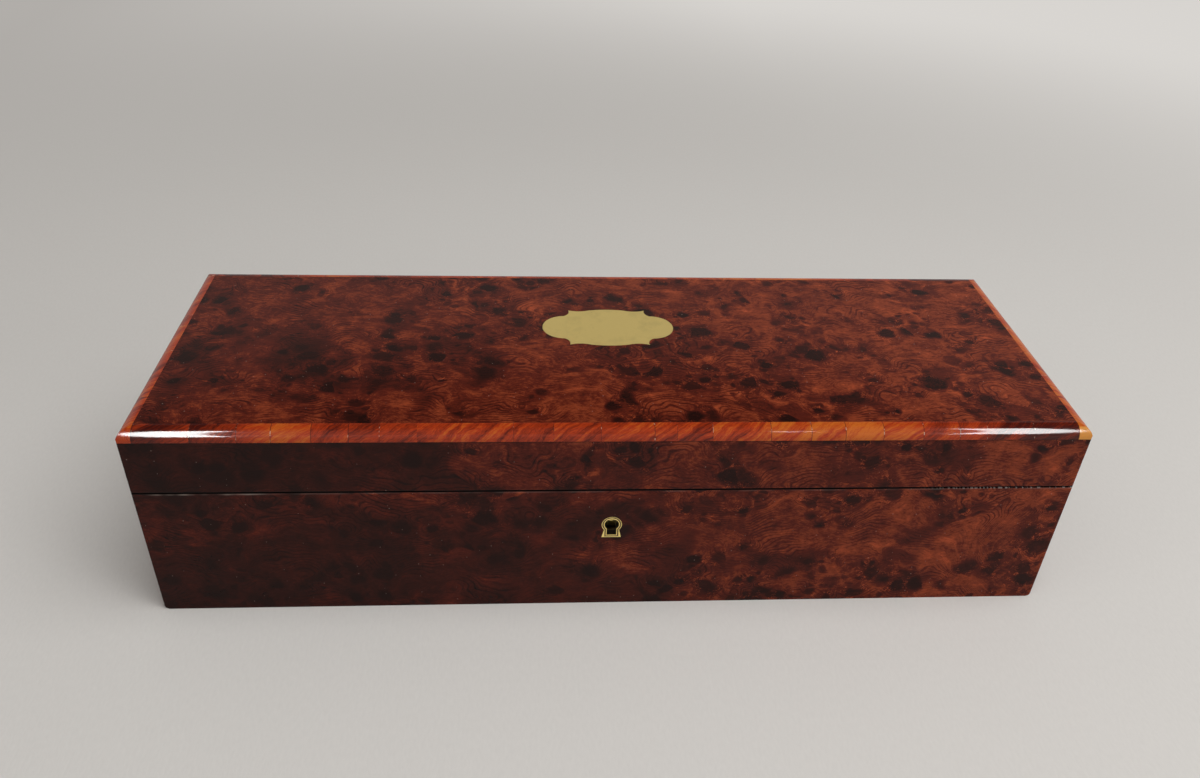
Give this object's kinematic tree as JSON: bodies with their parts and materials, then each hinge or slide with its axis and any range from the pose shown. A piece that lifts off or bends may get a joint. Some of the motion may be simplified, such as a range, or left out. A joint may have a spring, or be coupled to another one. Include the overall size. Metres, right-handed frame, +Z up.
{
  "type": "glove box",
  "caption": "Long veneered wooden glove box with a hinged lid on stop hinges, rounded edging, inlaid brass plate, inset lock and quilted lining.",
  "frame": {"origin": "centre of the underside of the closed box", "axes": "+X along the box towards its right-hand end as seen from the front, the keyhole front faces -Y, +Z up"},
  "size_m": [0.3, 0.102, 0.074],
  "materials": {
    "burl_veneer": "satin varnish over dark burl veneer",
    "rosewood_edging": "satin varnish over cross-grained rosewood",
    "carcass_wood": "bare planed wood",
    "brass": "dull aged brass",
    "steel": "dull steel",
    "satin": "satin cloth over wadding"
  },
  "bodies": {
    "case": {"bottom_board": "carcass_wood", "front_board": "carcass_wood", "back_board": "carcass_wood", "left_board": "carcass_wood", "right_board": "carcass_wood", "front_veneer": "burl_veneer", "back_veneer": "burl_veneer", "left_veneer": "burl_veneer", "right_veneer": "burl_veneer", "keyhole_ring": "brass", "lock_plate": "brass", "lock_case": "brass", "lock_spring": "steel", "lock_screws": "steel", "left_hinge_case_leaf": "brass", "right_hinge_case_leaf": "brass", "left_hinge_pin": "steel", "right_hinge_pin": "steel", "hinge_case_screws": "brass", "front_lining": "satin", "back_lining": "satin", "left_lining": "satin", "right_lining": "satin", "bottom_pad": "satin"},
    "bolt": {"lock_bolt": "steel"},
    "lid": {"lid_board": "carcass_wood", "lid_front_board": "carcass_wood", "lid_back_board": "carcass_wood", "lid_left_board": "carcass_wood", "lid_right_board": "carcass_wood", "lid_top_veneer": "burl_veneer", "lid_front_veneer": "burl_veneer", "lid_back_veneer": "burl_veneer", "lid_left_veneer": "burl_veneer", "lid_right_veneer": "burl_veneer", "front_edging": "rosewood_edging", "back_edging": "rosewood_edging", "left_edging": "rosewood_edging", "right_edging": "rosewood_edging", "brass_plate": "brass", "strike_plate": "brass", "strike_screws": "steel", "left_hinge_lid_leaf": "brass", "right_hinge_lid_leaf": "brass", "hinge_lid_screws": "brass", "lid_front_lining": "satin", "lid_back_lining": "satin", "lid_left_lining": "satin", "lid_right_lining": "satin", "lid_pad": "satin", "lid_buttons": "satin"}
  },
  "joints": [
    {"name": "lid_hinge", "type": "hinge", "parent": "case", "child": "lid", "pos_m": [0, 0.0493, 0.0506], "axis": [-1, 0, 0], "range_deg": [0, 95]},
    {"name": "bolt_slide", "type": "slide", "parent": "case", "child": "bolt", "axis": [1, 0, 0], "range_m": [0, 0.004]}
  ]
}
